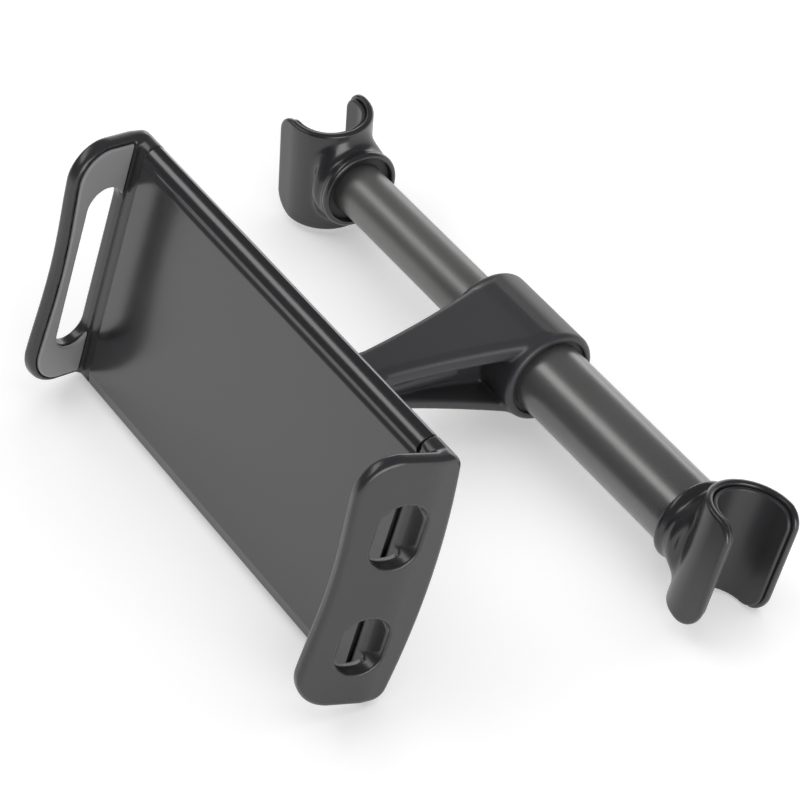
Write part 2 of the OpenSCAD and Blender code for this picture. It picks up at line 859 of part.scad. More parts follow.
// A rib that guides one slide along the side that has no spring lug
module slide_rib(side) {
    rib_t = 1.2;
    rib_end = half_len - end_wall + sink;
    rib_start = side > 0 ? slide_inner : -rib_end;
    rib_len = rib_end - slide_inner;
    rib_z = side > 0 ? -slide_top - rib_t : slide_top;
    translate([rib_start, tray_floor_t - sink, rib_z]) {
        cube([rib_len, slide_t + slide_gap + sink, rib_t]);
    }
}

module back_screw_holes() {
    for (sx = [-1, 1], sz = [-1, 1]) {
        translate([sx * screw_x, screw_tip - run_fit, sz * screw_z]) {
            rotate([-90, 0, 0]) cylinder(r = back_shank_r + run_fit, h = tray_depth);
        }
    }
}

module tray_back() {
    head_y = screw_back - back_head_t;
    color(plastic) on_tray() difference() {
        union() {
            difference() {
                across_x(half_len) difference() {
                    tray_section();
                    translate([-eps, -big / 2]) square([tray_joint_y + shell_gap + eps, big]);
                }
                across_x(half_len - end_wall) tray_hollow();
            }
            intersection() {
                across_x(half_len) intersection() {
                    tray_section();
                    translate([tray_joint_y + shell_gap, -big / 2]) square([tray_depth, big]);
                }
                union() {
                    translate([0, 0, ball_rise]) rotate([-90, 0, 0]) {
                        translate([0, 0, plate_back]) cylinder(r = boss_r, h = tray_depth);
                    }
                    for (sx = [-1, 1], sz = [-1, 1]) {
                        translate([sx * screw_x, 0, sz * screw_z]) {
                            rotate([-90, 0, 0]) cylinder(r = back_head_r + 1, h = tray_depth);
                        }
                    }
                }
            }
        }
        translate([0, 0, ball_rise]) rotate([-90, 0, 0]) {
            translate([0, 0, tray_joint_y - eps]) {
                cylinder(r = boss_bore_r, h = flange_back + flange_gap - tray_joint_y + eps);
            }
            cylinder(r = swivel_hole_r, h = tray_depth + eps);
            swivel_screw_places() {
                cylinder(r = swivel_screw_r + run_fit, h = plate_back + swivel_screw_grip + seat_fit);
            }
        }
        back_screw_holes();
        for (sx = [-1, 1], sz = [-1, 1]) {
            translate([sx * screw_x, head_y - run_fit, sz * screw_z]) {
                rotate([-90, 0, 0]) cylinder(r = back_head_r + run_fit, h = tray_depth);
            }
        }
    }
}

module swivel_screw_places() {
    for (k = [0 : 3]) {
        rotate([0, 0, 45 + 90 * k]) translate([swivel_screw_ring, 0, 0]) children();
    }
}

// The plate that keeps the socket's flange in the back shell
module swivel_plate() {
    color(steel) on_tray() translate([0, 0, ball_rise]) rotate([-90, 0, 0]) difference() {
        translate([0, 0, plate_front]) cylinder(r = boss_r, h = plate_t);
        translate([0, 0, plate_front - eps]) cylinder(r = plate_bore_r, h = plate_t + 2 * eps);
        swivel_screw_places() translate([0, 0, plate_front - eps]) {
            cylinder(r = swivel_screw_r + run_fit, h = plate_t + 2 * eps);
            cylinder(r = swivel_head_r + run_fit, h = swivel_head_t + eps);
        }
    }
}

module swivel_screws() {
    color(steel) on_tray() translate([0, 0, ball_rise]) rotate([-90, 0, 0]) swivel_screw_places() {
        translate([0, 0, plate_front]) cylinder(r = swivel_head_r, h = swivel_head_t);
        translate([0, 0, plate_front]) cylinder(r = swivel_screw_r, h = plate_t + swivel_screw_grip);
    }
}

module back_screws() {
    head_y = screw_back - back_head_t;
    color(steel) on_tray() for (sx = [-1, 1], sz = [-1, 1]) {
        translate([sx * screw_x, 0, sz * screw_z]) rotate([-90, 0, 0]) {
            translate([0, 0, screw_tip]) cylinder(r = back_shank_r, h = head_y - screw_tip);
            difference() {
                translate([0, 0, head_y]) cylinder(r = back_head_r, h = back_head_t);
                for (turn = [0, 90]) {
                    translate([0, 0, screw_back]) rotate([0, 0, turn]) {
                        cube([cross_len, cross_w, 2 * cross_t], center = true);
                    }
                }
            }
        }
    }
}

// A jaw's front outline from the side, with the depth to the right and the height up
module jaw_front_outline(inset, back) {
    front = -jaw_front + inset;
    corner_r = jaw_corner_r - inset;
    top = half_h - inset;
    difference() {
        union() {
            translate([front, corner_r - top]) square([back - front, 2 * (top - corner_r)]);
            translate([front + corner_r, -top]) square([back - front - corner_r, 2 * top]);
            for (side = [-1, 1]) {
                translate([front + corner_r, side * (top - corner_r)]) circle(corner_r);
            }
        }
        translate([-jaw_front + jaw_hollow - hollow_r, 0]) circle(hollow_r + inset, $fn = 720);
    }
}

// Tilts what is drawn for an upright right jaw over the tray
module leaning() {
    translate([jaw_out, 0, 0]) rotate([0, 0, -jaw_lean]) translate([-jaw_out, 0, 0]) children();
}

module slab_x(x0, x1) {
    rotate([90, 0, 90]) translate([0, 0, x0]) linear_extrude(x1 - x0) children();
}

// A right jaw without its slots
module jaw_body() {
    difference() {
        union() {
            slab_x(jaw_in, jaw_out) bowed_back(0, jaw_depth, jaw_bow_r, jaw_rear_r);
            intersection() {
                leaning() slab_x(jaw_out - jaw_wall, jaw_out) jaw_front_outline(0, wall_root);
                translate([0, -big / 2, -big / 2]) cube([jaw_out, big, big]);
            }
        }
        leaning() slab_x(jaw_out - jaw_wall - pad_proud - pad_clear, pad_floor) {
            jaw_front_outline(pad_rim - seat_fit, seat_fit - pad_back);
        }
    }
    slide_end = jaw_in + slide_root;
    translate([slide_inner, slide_y, -slide_half_h]) {
        cube([slide_end - slide_inner, slide_t, 2 * slide_half_h]);
    }
    translate([slide_inner, slide_y, 0]) cube([lug_w, slide_t, lug_top]);
}

module jaw_pad() {
    leaning() slab_x(pad_floor - pad_t, pad_floor) jaw_front_outline(pad_rim, -pad_back);
}

module left_slot() {
    r = left_slot_w / 2 - 0.01;
    slab_x(jaw_in - slot_reach, jaw_out + slot_reach) {
        translate([-left_slot_w, r - left_slot_bottom]) {
            square([left_slot_w, left_slot_bottom + left_slot_top - 2 * r]);
        }
        for (z = [r - left_slot_bottom, left_slot_top - r]) {
            translate([-left_slot_w / 2, z]) circle(r);
        }
    }
}

// A rounded slot seen from the side, between two heights
module right_slot_outline(bottom, top) {
    r = right_slot_r;
    width = right_slot_front + right_slot_back;
    translate([-right_slot_front, bottom + r]) square([width, top - bottom - 2 * r]);
    translate([-right_slot_front + r, bottom]) square([width - 2 * r, top - bottom]);
    for (y = [-right_slot_front + r, right_slot_back - r], z = [bottom + r, top - r]) {
        translate([y, z]) circle(r);
    }
}

// A slot goes through the wall, and leaves a pocket where it passes over the body of the jaw
module right_slot(bottom, top) {
    slab_x(jaw_in - slot_reach, jaw_out + slot_reach) intersection() {
        right_slot_outline(bottom, top);
        translate([-big, -big / 2]) square([big, big]);
    }
    slab_x(pocket_floor, jaw_out + slot_reach) right_slot_outline(bottom, top);
}

module right_slots() {
    right_slot(upper_slot_bottom, upper_slot_top);
    right_slot(-lower_slot_bottom, -lower_slot_top);
}

module left_jaw() {
    color(plastic) on_tray() mirror([1, 0, 0]) difference() {
        mirror([0, 0, 1]) jaw_body();
        left_slot();
    }
}

module left_jaw_pad() {
    color(rubber) on_tray() mirror([1, 0, 0]) difference() {
        jaw_pad();
        left_slot();
    }
}

module right_jaw() {
    color(plastic) on_tray() difference() {
        jaw_body();
        right_slots();
    }
}

module right_jaw_pad() {
    color(rubber) on_tray() difference() {
        jaw_pad();
        right_slots();
    }
}

// Runs from the post on the tray's far side to the lug of the slide
module jaw_spring() {
    along_x(spring_start_x) {
        coil(spring_len, jaw_spring_d / 2, jaw_spring_wire / 2, jaw_spring_turns, 10, 5);
    }
}

module right_jaw_spring() {
    color(steel) on_tray() translate([0, spring_y, jaw_spring_z]) {
        jaw_spring();
    }
}

module left_jaw_spring() {
    color(steel) on_tray() mirror([1, 0, 0]) translate([0, spring_y, -jaw_spring_z]) {
        jaw_spring();
    }
}

right_hook();
right_hook_liner();
right_hook_screw();
outer_tube();
mouth_bush();
sleeve_clip();
rod_spring();
guide_ring();
inner_tube();
spring_plug();
left_tube_adapter();
left_hook();
left_hook_liner();
left_hook_screw();
arm();
left_sleeve_bush();
right_sleeve_bush();
ball_stud();
ball_seat();
socket_cup();
ring_nut();
tray_front();
tray_back();
swivel_plate();
swivel_screws();
back_screws();
left_jaw();
left_jaw_pad();
left_jaw_spring();
right_jaw();
right_jaw_pad();
right_jaw_spring();
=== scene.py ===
"""Headrest tablet mount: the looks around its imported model.

Moulded pieces are built as smooth surfaces: each shape is a distance function in millimetres,
so that edges are rounded and joints between forms are filleted as a mould would leave them.
"""

import math

import bmesh
import bpy
import numpy as np
from mathutils import Matrix, Vector


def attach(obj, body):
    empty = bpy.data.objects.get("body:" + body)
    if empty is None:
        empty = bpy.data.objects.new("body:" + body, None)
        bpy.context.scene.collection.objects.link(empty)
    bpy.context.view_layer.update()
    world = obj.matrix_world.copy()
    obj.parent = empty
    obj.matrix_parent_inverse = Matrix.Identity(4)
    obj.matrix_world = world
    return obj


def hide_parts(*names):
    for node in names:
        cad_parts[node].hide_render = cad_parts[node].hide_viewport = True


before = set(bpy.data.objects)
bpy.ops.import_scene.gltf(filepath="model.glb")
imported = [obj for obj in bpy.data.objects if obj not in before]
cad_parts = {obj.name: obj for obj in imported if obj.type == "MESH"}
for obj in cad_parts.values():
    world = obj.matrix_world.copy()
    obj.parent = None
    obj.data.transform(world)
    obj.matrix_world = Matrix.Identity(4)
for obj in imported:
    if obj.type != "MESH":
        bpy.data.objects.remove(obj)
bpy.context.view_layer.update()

MM = 0.001

# Sizes of the object in millimetres, as it was constructed
LEFT_POST_X = -165.8
LEFT_TURN = 14.0
SLEEVE_X = -82.8
POST_R = 8.0
LINER_R = 9.1
HOOK_BORE_R = 9.2
HOOK_R = 11.0
HOOK_TOP = 14.5
HOOK_UNDER = -14.7
HOOK_REACH = 5.2
HOOK_TOP_CORNER = 5.0
HOOK_UNDER_CORNER = 6.0
COLLAR_R = 10.5
COLLAR_REACH = 15.8
SOCKET_FLOOR = 11.3
SCREW_X = 13.55
TUBE_R = 9.0
SLEEVE_R = 12.0
SLEEVE_HALF = 13.5
SLEEVE_BORE_R = 10.15
ARM_DROP = 4.8
ARM_LEN = 46.44
ARM_SLOPE = 8.2
ARM_UNDER_SLOPE = 8.1
ARM_UNDER_R = 10.3
ARM_ROOT_W = 11.9
ARM_TIP_W = 4.7
ARM_ROOT_Y = 8.0
ARM_WAIST = 0.8
PLATE_T = 5.2
FLOOR_T = 2.6
WEB_T = 4.0
NOSE_R = 4.6
NOSE_END = 48.44
STUD_R = 2.7
STUD_Z = 0.8
TRAY_Y = -77.1
TRAY_Z = -5.0
TRAY_HALF = 55.7
TRAY_HALF_H = 33.1
TRAY_DEPTH = 9.0
TRAY_BOW = 140.0
TRAY_EDGE = 4.0
TRAY_REAR = 2.3
TRAY_JOINT = 4.8
JAW_IN = 55.9
JAW_OUT = 63.9
JAW_WALL = 3.8
JAW_FRONT = 17.0
JAW_HOLLOW = 1.5
JAW_CORNER = 9.5
JAW_REAR = 3.0
JAW_BOW = 180.0
JAW_LEAN = 11.3
PAD_RIM = 1.6
PAD_BACK = 1.1
PAD_PROUD = 0.4
PAD_T = 1.0
WAIST_X = 12.7
WAIST_OUT = 1.0
WAIST_CUT_R = 1.6
HOOK_SCREW_R = 1.95
HOOK_SCREW_TOP = -9.5
CREASE_OUT = 0.5
CREASE_Z = 29.15
CREASE_R = 1.0
ROOM_HALF = 53.7
ROOM_HALF_H = 31.1
ROOM_Y = 2.0
WINDOW_HALF_H = 15.7
BACK_SCREW_X = 50.0
BACK_SCREW_Z = 26.2
SPRING_POST_X = 44.7
SPRING_POST_Z = 21.3
PILOT_R = 0.95
SOCKET_Z = 0.8
SOCKET_BOSS_R = 14.1
SOCKET_SEAT_R = 12.1
SOCKET_MOUTH_R = 10.2
SWIVEL_SCREW_RING = 13.1

# Slots and slide of a jaw: low and high corners from the middle of the tray's face
LEFT_SLOT = ((-10.3, -23.4), (0.0, 21.0))
LEFT_SLOT_R = 5.14
RIGHT_UPPER_SLOT = ((-9.5, 4.7), (1.9, 21.3))
RIGHT_LOWER_SLOT = ((-9.5, -24.1), (1.9, -9.0))
RIGHT_SLOT_R = 5.4
SLOT_RAMP = 0.32
SLIDE = ((6.0, 2.2, -15.5), (56.9, 4.2, 15.5))

# Grid cells of the moulded surfaces
HOOK_CELL = 0.34
ARM_CELL = 0.42
JAW_CELL = 0.4
PAD_CELL = 0.36


def smooth_max(a, b, r):
    """The larger of two distances, with the edge between the two forms rounded to radius r."""
    inner = np.minimum(np.maximum(a, b), -r)
    return inner + np.hypot(np.maximum(a + r, 0), np.maximum(b + r, 0))


def smooth_min(a, b, r):
    """The smaller of two distances, with a fillet of radius r between the two forms."""
    return -smooth_max(-a, -b, r)


def slab(v, low, high):
    """Distance to the space between two planes."""
    return np.maximum(low - v, v - high)


def rect(u, v, low, high, r):
    """Distance to a rectangle with round corners, from low to high."""
    half_u = (high[0] - low[0]) / 2 - r
    half_v = (high[1] - low[1]) / 2 - r
    du = np.abs(u - (low[0] + high[0]) / 2) - half_u
    dv = np.abs(v - (low[1] + high[1]) / 2) - half_v
    outside = np.hypot(np.maximum(du, 0), np.maximum(dv, 0))
    return outside + np.minimum(np.maximum(du, dv), 0) - r


def turned(u, v, degrees):
    """Coordinates of the points in axes that are turned by an angle."""
    c = math.cos(math.radians(degrees))
    s = math.sin(math.radians(degrees))
    return c * u + s * v, c * v - s * u


def surface(name, shape, low, high, cell):
    """A closed mesh of the surface where shape(x, y, z) is zero, in millimetres, on a grid of cells."""
    axes = [np.arange(low[i] - cell * 2, high[i] + cell * 3, cell) for i in range(3)]
    grid = np.meshgrid(*axes, indexing="ij")
    value = shape(*grid)
    inside = value < 0
    n = [len(a) - 1 for a in axes]
    total = np.zeros(n + [3])
    count = np.zeros(n)
    corner = np.indices(n).astype(float)
    for axis in range(3):
        others = [i for i in range(3) if i != axis]
        for da in (0, 1):
            for db in (0, 1):
                start = [0, 0, 0]
                start[others[0]] = da
                start[others[1]] = db
                first = tuple(slice(start[i], start[i] + n[i]) for i in range(3))
                step = list(start)
                step[axis] = 1
                second = tuple(slice(step[i], step[i] + n[i]) for i in range(3))
                a = value[first]
                b = value[second]
                cross = inside[first] != inside[second]
                part = np.where(cross, a / np.where(cross, a - b, 1), 0)
                count += cross
                for i in range(3):
                    place = corner[i] + start[i] + (part if i == axis else 0)
                    total[..., i] += np.where(cross, place, 0)
    used = count > 0
    index = -np.ones(n, int)
    index[used] = np.arange(used.sum())
    points = total[used] / count[used][:, None] * cell + np.array([a[0] for a in axes])
    faces = []
    for axis in range(3):
        b, c = [(1, 2), (2, 0), (0, 1)][axis]
        here = [slice(1, n[i]) for i in range(3)]
        here[axis] = slice(0, n[axis])
        ahead = list(here)
        ahead[axis] = slice(1, n[axis] + 1)
        one = inside[tuple(here)]
        two = inside[tuple(ahead)]
        places = np.argwhere(one != two)
        shift = np.ones(3, int)
        shift[axis] = 0
        places = places + shift
        flip = one[one != two]
        quad = []
        for db, dc in ((1, 1), (0, 1), (0, 0), (1, 0)):
            at = places.copy()
            at[:, b] -= db
            at[:, c] -= dc
            quad.append(index[at[:, 0], at[:, 1], at[:, 2]])
        quad = np.stack(quad, 1)
        quad[flip] = quad[flip]
        quad[~flip] = quad[~flip][:, ::-1]
        faces.append(quad)
    faces = np.concatenate(faces)
    points = settle(points, shape, cell)
    mesh = bpy.data.meshes.new(name)
    mesh.from_pydata((points * MM).tolist(), [], faces.tolist())
    mesh.update()
    mesh.shade_smooth()
    piece = bpy.data.objects.new(name, mesh)
    bpy.context.scene.collection.objects.link(piece)
    return piece


def settle(points, shape, cell):
    """Moves points onto the surface along its slope."""
    h = cell * 0.1
    for _ in range(3):
        x, y, z = points.T
        value = shape(x, y, z)
        slope = np.stack([
            shape(x + h, y, z) - shape(x - h, y, z),
            shape(x, y + h, z) - shape(x, y - h, z),
            shape(x, y, z + h) - shape(x, y, z - h),
        ], 1) / (2 * h)
        size = np.maximum((slope ** 2).sum(1), 0.25)
        move = -slope * (value / size)[:, None]
        far = np.linalg.norm(move, axis=1)[:, None]
        points = points + move * np.minimum(1, cell * 0.4 / np.maximum(far, 1e-9))
    return points


def apply_modifiers(piece):
    graph = bpy.context.evaluated_depsgraph_get()
    mesh = bpy.data.meshes.new_from_object(piece.evaluated_get(graph))
    piece.modifiers.clear()
    piece.data = mesh


def carry(piece, matrix):
    """Puts a matrix into the points of a mesh, and turns its faces back out if it mirrors them."""
    piece.data.transform(matrix)
    if matrix.determinant() < 0:
        piece.data.flip_normals()
    piece.data.update()


# Hooks

def hook_wall(x, y, mid_r, half_t):
    """Distance to the open C, seen from above."""
    return np.abs(np.hypot(np.minimum(x, 0), y) - mid_r) - half_t


def hook_side(x, z, inset):
    """Distance to a hook's outline from the side, with two round corners at the free edge."""
    tip = HOOK_REACH - inset
    top = rect(x, z, (-60, -60), (tip, HOOK_TOP - inset), HOOK_TOP_CORNER - inset)
    under = rect(x, z, (-60, HOOK_UNDER + inset), (tip, 60), HOOK_UNDER_CORNER - inset)
    return np.maximum(top, under)


def hook_shape(x, y, z):
    wall = hook_wall(x, y, (HOOK_R + HOOK_BORE_R) / 2, (HOOK_R - HOOK_BORE_R) / 2)
    shell = smooth_max(wall, hook_side(x, z, 0), 0.7)
    round_r = np.hypot(y, z)
    collar = smooth_max(round_r - COLLAR_R, slab(x, -COLLAR_REACH, -HOOK_BORE_R), 0.9)
    waist = np.hypot(x + WAIST_X, round_r - COLLAR_R - WAIST_OUT) - WAIST_CUT_R
    collar = smooth_max(collar, -waist, 0.6)
    body = smooth_min(shell, collar, 3.4)
    body = np.maximum(body, np.abs(y) - HOOK_R)
    body = np.maximum(body, hook_side(x, z, 0))
    channel = np.hypot(np.minimum(x, 0), y) - HOOK_BORE_R
    body = smooth_max(body, -channel, 0.3)
    socket = np.maximum(round_r - TUBE_R - 0.1, slab(x, -30, -SOCKET_FLOOR))
    body = smooth_max(body, -socket, 0.3)
    screw = np.maximum(np.hypot(x + SCREW_X, y) - HOOK_SCREW_R, z - HOOK_SCREW_TOP)
    return np.maximum(body, -screw)


def liner_shape(x, y, z):
    wall = hook_wall(x, y, (LINER_R + POST_R) / 2, (LINER_R - POST_R) / 2)
    return smooth_max(wall, hook_side(x, z, 0.8), 0.42)


def make_hooks():
    left = Matrix.Translation((LEFT_POST_X * MM, 0, 0)) @ Matrix.Rotation(math.radians(LEFT_TURN), 4, "X")
    left = left @ Matrix.Scale(-1, 4, (1, 0, 0))
    low = (-COLLAR_REACH, -HOOK_R, HOOK_UNDER)
    high = (HOOK_REACH, HOOK_R, HOOK_TOP)
    kinds = (("hook", hook_shape, gloss_black), ("hook_liner", liner_shape, liner_rubber))
    for side, body, place in (("right", "right_end", None), ("left", "left_end", left)):
        for kind, shape, coat in kinds:
            piece = surface(f"{side}_{kind}_moulding", shape, low, high, HOOK_CELL)
            if place:
                carry(piece, place)
            finish_piece(piece, body, coat, f"{side}_{kind}")


# Arm

def arm_shape(x, y, z):
    """The arm in its own axes: sleeve on the origin, tip to -y."""
    s = math.sin(math.radians(ARM_SLOPE))
    c = math.cos(math.radians(ARM_SLOPE))
    over = z * c - y * s - SLEEVE_R
    s = math.sin(math.radians(ARM_UNDER_SLOPE))
    c = math.cos(math.radians(ARM_UNDER_SLOPE))
    under = -z * c - y * s - ARM_UNDER_R
    chord = np.array([ARM_TIP_W - ARM_ROOT_W, ARM_ROOT_Y - ARM_LEN])
    length = np.hypot(*chord)
    waist_r = (length ** 2 / 4 + ARM_WAIST ** 2) / (2 * ARM_WAIST)
    out = np.array([-chord[1], chord[0]]) / length
    mid = np.array([(ARM_ROOT_W + ARM_TIP_W) / 2, -(ARM_ROOT_Y + ARM_LEN) / 2])
    centre = mid + (waist_r - ARM_WAIST) * out
    sides = waist_r - np.hypot(np.abs(x) - centre[0], y - centre[1])
    sides = np.maximum(sides, np.abs(x) - ARM_ROOT_W)
    ends = slab(y, -ARM_LEN, 0)
    plate = smooth_max(np.maximum(over, -over - PLATE_T), sides, 2.2)
    floor = smooth_max(np.maximum(under, -under - FLOOR_T), sides, 0.9)
    core = np.maximum(over + 1.5, under + 1.0)
    web = np.maximum(core, np.abs(x) - WEB_T / 2)
    block = np.maximum(core, np.maximum(sides, y + ARM_LEN - 4))
    bracket = smooth_min(smooth_min(plate, floor, 0.6), np.minimum(web, block), 0.8)
    bracket = smooth_max(bracket, ends, 0.8)
    round_r = np.hypot(y, z)
    sleeve = smooth_max(round_r - SLEEVE_R, np.abs(x) - SLEEVE_HALF, 1.3)
    nose = smooth_max(np.hypot(x, z - STUD_Z) - NOSE_R, slab(y, -NOSE_END, -20), 0.9)
    nose = smooth_max(nose, over + 1.6, 0.6)
    solid = smooth_min(np.minimum(bracket, smooth_min(bracket, nose, 1.0)), sleeve, 0.9)
    solid = np.maximum(solid, slab(z, -SLEEVE_R, SLEEVE_R))
    bore = round_r - SLEEVE_BORE_R
    solid = smooth_max(solid, -bore, 0.3)
    stud = np.maximum(np.hypot(x, z - STUD_Z) - STUD_R, y + 36.4)
    return np.maximum(solid, -stud)


def make_arm():
    low = (-SLEEVE_HALF, -NOSE_END, -SLEEVE_R)
    high = (SLEEVE_HALF, SLEEVE_R, SLEEVE_R)
    piece = surface("arm_moulding", arm_shape, low, high, ARM_CELL)
    place = Matrix.Translation((SLEEVE_X * MM, 0, 0)) @ Matrix.Rotation(math.radians(ARM_DROP), 4, "X")
    carry(piece, place)
    finish_piece(piece, "swing_arm", arm_black, "arm")


# Jaws, drawn for the right one with the middle of the tray's face as the origin

def tray_section(y, z):
    """Distance to the tray's section: a round bar and a crease along the top, a bevel along the bottom."""
    bar = rect(y, z, (0, -60), (60, TRAY_HALF_H), TRAY_EDGE)
    foot = rect(y, z, (0.5, -TRAY_HALF_H), (60, 60), 1.2)
    bevel = (TRAY_HALF_H - 3.5 - np.abs(z)) * -0.14 - y
    front = np.maximum(np.maximum(bar, foot), np.where(z < 0, bevel, -y))
    crease = np.hypot(y + CREASE_OUT, z - CREASE_Z) - CREASE_R
    front = smooth_max(front, -crease, 0.3)
    return smooth_max(front, np.maximum(bowed(y, z, TRAY_BOW), np.abs(z) - TRAY_HALF_H), 0.5)


def bowed(y, z, bow_r):
    return np.hypot(y - TRAY_DEPTH + bow_r, z) - bow_r


def jaw_outline(front_y, rear_y, z, inset):
    front = -JAW_FRONT + inset
    half_h = TRAY_HALF_H - inset
    hollow = JAW_HOLLOW * np.maximum(0, 1 - (z / 27) ** 2) ** 2
    ends = rect(front_y - hollow, z, (front, -half_h), (60, half_h), JAW_CORNER - inset)
    rear = smooth_max(bowed(rear_y, z, JAW_BOW) + inset, np.abs(z) - half_h, JAW_REAR)
    return np.maximum(ends, rear)


def pad_outline(y, z, inset):
    return np.maximum(jaw_outline(y, y, z, PAD_RIM + inset), y + PAD_BACK + inset)


def left_slot(y, z):
    return rect(y, z, *LEFT_SLOT, LEFT_SLOT_R)


def right_slots(y, z):
    upper = rect(y, z, *RIGHT_UPPER_SLOT, RIGHT_SLOT_R)
    lower = rect(y, z, *RIGHT_LOWER_SLOT, RIGHT_SLOT_R)
    return np.minimum(upper, lower)


def jaw_head(x, y, z, slots):
    lean_x, lean_y = turned(x - JAW_OUT, y, -JAW_LEAN)
    outline = jaw_outline(lean_y, y, z, 0)
    outer = smooth_max(x - JAW_OUT, lean_x, 0.4)
    shell = smooth_max(outline, outer, 1.3)
    wall = smooth_max(shell, -lean_x - JAW_WALL, 1.6)
    cap = smooth_max(np.maximum(outline, tray_section(y, z)), JAW_IN - x, 0.12)
    solid = np.maximum(smooth_min(wall, cap, 1.2), shell)
    recess = np.maximum(pad_outline(lean_y, z, -0.35), -lean_x - JAW_WALL - 4)
    recess = np.maximum(recess, lean_x + JAW_WALL - (PAD_T - PAD_PROUD))
    solid = smooth_max(solid, -recess, 0.3)
    cut = slots(y, z)
    if slots is right_slots:
        cut = np.maximum(cut, y - np.maximum(0, (x - JAW_IN - 0.6) * SLOT_RAMP))
    return smooth_max(solid, -cut, 0.5)


def jaw_pad(x, y, z, slots):
    lean_x, lean_y = turned(x - JAW_OUT, y, -JAW_LEAN)
    base = -JAW_WALL + PAD_T - PAD_PROUD
    sheet = smooth_max(slab(lean_x, base - PAD_T, base), pad_outline(lean_y, z, 0), 0.35)
    return smooth_max(sheet, -slots(y, z), 0.3)


def make_jaws():
    centre = Matrix.Translation((SLEEVE_X * MM, TRAY_Y * MM, TRAY_Z * MM))
    for side, sign, slots in (("right", 1, right_slots), ("left", -1, left_slot)):
        place = centre @ Matrix.Scale(sign, 4, (1, 0, 0))
        low = (JAW_IN, -JAW_FRONT, -TRAY_HALF_H)
        high = (JAW_OUT, TRAY_DEPTH, TRAY_HALF_H)
        head = surface(f"{side}_jaw_moulding", lambda x, y, z: jaw_head(x, y, z, slots), low, high, JAW_CELL)
        carry(head, place)
        finish_piece(head, f"{side}_grip", jaw_black, f"{side}_jaw")
        blade = bevelled_box(f"{side}_jaw_slide", *SLIDE, 0.3)
        carry(blade, place)
        finish_piece(blade, f"{side}_grip", jaw_black)
        low = (JAW_IN - 2, -16, -32)
        high = (JAW_OUT, 0.5, 32)
        pad = surface(f"{side}_jaw_pad_sheet", lambda x, y, z: jaw_pad(x, y, z, slots), low, high, PAD_CELL)
        carry(pad, place)
        finish_piece(pad, f"{side}_grip", pad_rubber, f"{side}_jaw_pad")


# Tray shells, swept along the rod's direction with the middle of the tray's face as the origin

def arc(centre, r, start, end, steps):
    turn = [math.radians(start + (end - start) * i / steps) for i in range(steps + 1)]
    return [(centre[0] + r * math.cos(a), centre[1] + r * math.sin(a)) for a in turn]


def tray_points():
    """The closed tray's section, clockwise from the foot of its front."""
    rear_z = TRAY_HALF_H - TRAY_REAR
    rear_y = TRAY_DEPTH - TRAY_BOW + math.sqrt((TRAY_BOW - TRAY_REAR) ** 2 - rear_z ** 2)
    lean = math.degrees(math.atan2(rear_z, rear_y - TRAY_DEPTH + TRAY_BOW))
    points = arc((1.7, -TRAY_HALF_H + 1.2), 1.2, 265, 172, 6)
    points += [(0.1, -30.0), (0.02, -29.7), (0, -29.3)]
    points += [(0.42 * (i / 8) ** 2 * (3 - i / 4), 27.6 + 1.8 * i / 8) for i in range(9)]
    points += [(0.33, 29.62), (0.18, 29.82)]
    points += arc((TRAY_EDGE, TRAY_HALF_H - TRAY_EDGE), TRAY_EDGE, 167, 97, 16)
    points += arc((rear_y, rear_z), TRAY_REAR, 82, lean, 9)
    points += arc((TRAY_DEPTH - TRAY_BOW, 0), TRAY_BOW, lean, -lean, 28)[1:-1]
    points += arc((rear_y, -rear_z), TRAY_REAR, -lean, -90, 9)
    return points


def clipped(points, at, keep_front, lip):
    """The part of a section before or behind a depth, with a small bevel beside the cut."""
    side = 1 if keep_front else -1
    inside = [side * (at - p[0]) > lip for p in points]
    start = next(i for i in range(len(points)) if inside[i] and not inside[i - 1])
    run = []
    for i in range(len(points)):
        k = (start + i) % len(points)
        if not inside[k]:
            break
        run.append(points[k])
    before = points[start - 1]
    after = points[(start + len(run)) % len(points)]
    ends = []
    for near, far in ((run[0], before), (run[-1], after)):
        part = (at - side * lip - near[0]) / (far[0] - near[0])
        z = near[1] + (far[1] - near[1]) * part
        ends.append(((at - side * lip, z), (at, z - math.copysign(lip, z))))
    return [ends[0][1], ends[0][0]] + run + [ends[1][0], ends[1][1]]


def inset_points(points, by):
    """A clockwise section drawn in by a distance."""
    out = []
    for i, p in enumerate(points):
        a = np.array(points[i - 1])
        b = np.array(p)
        c = np.array(points[(i + 1) % len(points)])
        first = (b - a) / np.linalg.norm(b - a)
        second = (c - b) / np.linalg.norm(c - b)
        n1 = np.array([first[1], -first[0]])
        n2 = np.array([second[1], -second[0]])
        mid = n1 + n2
        out.append(tuple(b + mid * by / max(mid @ n1, 0.3)))
    return out


def sweep(name, points, half, edge):
    """A bar along X with the given section, its end edges rounded."""
    rings = []
    stops = [(0, edge), (edge * 0.3, edge * 0.3), (edge, 0)] if edge else [(0, 0)]
    for along, inset in stops:
        ring = inset_points(points, inset) if inset else points
        rings.append([(-half + along, y, z) for y, z in ring])
    rings += [[(-x, y, z) for x, y, z in ring] for ring in reversed(rings)]
    n = len(points)
    faces = [tuple(range(n))[::-1], tuple(range((len(rings) - 1) * n, len(rings) * n))]
    for r in range(len(rings) - 1):
        for i in range(n):
            k = (i + 1) % n
            faces.append((r * n + i, r * n + k, (r + 1) * n + k, (r + 1) * n + i))
    mesh = bpy.data.meshes.new(name)
    mesh.from_pydata([tuple(v * MM for v in p) for ring in rings for p in ring], [], faces)
    piece = bpy.data.objects.new(name, mesh)
    bpy.context.scene.collection.objects.link(piece)
    tools = bmesh.new()
    tools.from_mesh(mesh)
    bmesh.ops.recalc_face_normals(tools, faces=tools.faces)
    tools.to_mesh(mesh)
    tools.free()
    return piece


